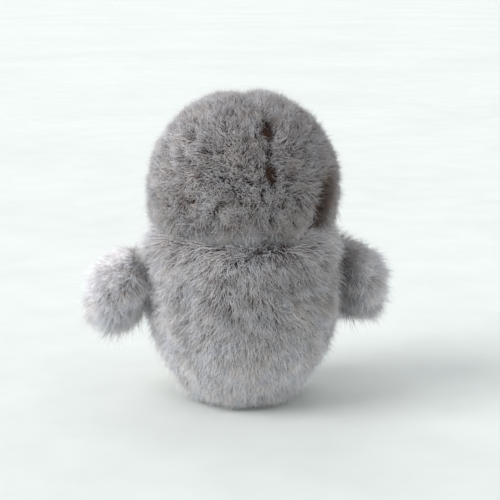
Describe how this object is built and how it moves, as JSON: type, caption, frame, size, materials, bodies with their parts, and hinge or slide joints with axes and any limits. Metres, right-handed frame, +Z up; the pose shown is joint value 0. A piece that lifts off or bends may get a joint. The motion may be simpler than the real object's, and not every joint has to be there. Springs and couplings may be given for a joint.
{
  "type": "jointed plush penguin",
  "caption": "Small standing plush penguin in long grey pile, with a turning head and two turning wings.",
  "frame": {"origin": "middle of the flat base that the toy stands on", "axes": "+Z up, the toy faces -Y, its own left side is +X"},
  "size_m": [0.1136, 0.0817, 0.118],
  "materials": {
    "grey_pile": "long pile",
    "white_pile": "short pile",
    "felt": "felt",
    "stuffing": "fibre fill",
    "cotton": "plain weave",
    "thread": "twisted",
    "fibreboard": "pressed board",
    "card": "greyboard",
    "steel": "zinc plated",
    "black_plastic": "polished",
    "grey_plastic": "moulded"
  },
  "bodies": {
    "torso": {"back_closing_stitches": "thread", "back_panel_left": "grey_pile", "back_panel_right": "grey_pile", "ballast_pouch": "cotton", "ballast_shot": "steel", "base_panel": "grey_pile", "belly_panel": "white_pile", "foot_insole_left": "card", "foot_insole_right": "card", "foot_sole_left": "felt", "foot_sole_right": "felt", "foot_upper_left": "felt", "foot_upper_right": "felt", "shoulder_disc_left": "fibreboard", "shoulder_disc_right": "fibreboard", "shoulder_washer_left": "steel", "shoulder_washer_right": "steel", "torso_gathering_thread": "thread", "torso_neck_disc": "fibreboard", "torso_neck_washer": "steel", "torso_stuffing": "stuffing"},
    "head": {"beak_lower": "felt", "beak_upper": "felt", "eye_left": "black_plastic", "eye_right": "black_plastic", "eye_washer_left": "grey_plastic", "eye_washer_right": "grey_plastic", "face_panel": "white_pile", "head_gathering_thread": "thread", "head_neck_disc": "fibreboard", "head_neck_washer": "steel", "head_panel_left": "grey_pile", "head_panel_right": "grey_pile", "head_stuffing": "stuffing", "neck_cotter_pin": "steel"},
    "wing_left": {"wing_cotter_pin_left": "steel", "wing_disc_left": "fibreboard", "wing_inner_panel_left": "grey_pile", "wing_outer_panel_left": "grey_pile", "wing_stuffing_left": "stuffing", "wing_washer_left": "steel"},
    "wing_right": {"wing_cotter_pin_right": "steel", "wing_disc_right": "fibreboard", "wing_inner_panel_right": "grey_pile", "wing_outer_panel_right": "grey_pile", "wing_stuffing_right": "stuffing", "wing_washer_right": "steel"}
  },
  "joints": [
    {"name": "neck_turn", "type": "hinge", "parent": "torso", "child": "head", "pos_m": [0, 0, 0.0662], "axis": [0, 0, 1], "continuous": true},
    {"name": "shoulder_left", "type": "hinge", "parent": "torso", "child": "wing_left", "pos_m": [0.034, -0.00478, 0.052], "axis": [-0.9842, 0.1383, -0.1107], "range_deg": [-110, 110]},
    {"name": "shoulder_right", "type": "hinge", "parent": "torso", "child": "wing_right", "pos_m": [-0.034, -0.00478, 0.052], "axis": [-0.9842, -0.1383, 0.1107], "range_deg": [-110, 110]}
  ]
}
